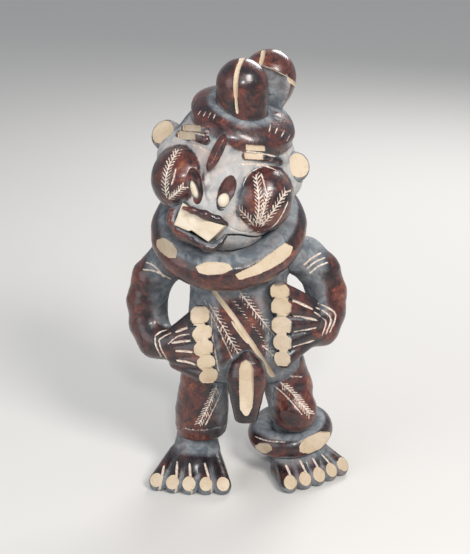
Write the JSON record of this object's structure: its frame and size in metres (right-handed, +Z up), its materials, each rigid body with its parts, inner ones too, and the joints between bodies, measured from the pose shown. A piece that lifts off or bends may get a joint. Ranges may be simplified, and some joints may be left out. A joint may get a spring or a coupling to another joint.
{
  "type": "carved standing figure",
  "caption": "Carved dark wood ancestor figure standing on splayed feet, with domed cheeks, a thick neck ring, hands on the belly, one anklet and pale knife-cut facets.",
  "frame": {"origin": "middle of the footprint box at floor level", "axes": "+Z up along the figure; the figure faces -Y; its own left side is +X"},
  "size_m": [0.1457, 0.094, 0.2825],
  "materials": {
    "dark_wood": "burnished dark stain with grey dust rubbed into the hollows and pale knife-cut facets",
    "pale_wood": "matt knife-cut light wood with some dust",
    "peg_wood": "plain turned hardwood"
  },
  "bodies": {
    "root": {"torso": "dark_wood", "collar_ring": "dark_wood", "head": "dark_wood", "tooth_plate": "pale_wood", "lower_jaw": "dark_wood", "topknot_front": "dark_wood", "topknot_rear": "dark_wood", "ear_left": "dark_wood", "ear_right": "dark_wood", "eye_left": "pale_wood", "eye_right": "pale_wood", "arm_left": "dark_wood", "arm_right": "dark_wood", "leg_left": "dark_wood", "leg_right": "dark_wood", "foot_left": "dark_wood", "foot_right": "dark_wood", "anklet_ring": "dark_wood", "loincloth_tongue": "dark_wood", "neck_peg": "peg_wood", "shoulder_peg_right": "peg_wood", "shoulder_peg_left": "peg_wood", "hand_peg_right": "peg_wood", "hand_peg_left": "peg_wood", "hip_peg_right": "peg_wood", "hip_peg_left": "peg_wood", "ankle_peg_right": "peg_wood", "ankle_peg_left": "peg_wood", "topknot_peg_front": "peg_wood", "topknot_peg_rear": "peg_wood", "ear_peg_left": "peg_wood", "ear_peg_right": "peg_wood", "jaw_peg": "peg_wood", "loincloth_peg": "peg_wood"}
  },
  "joints": []
}
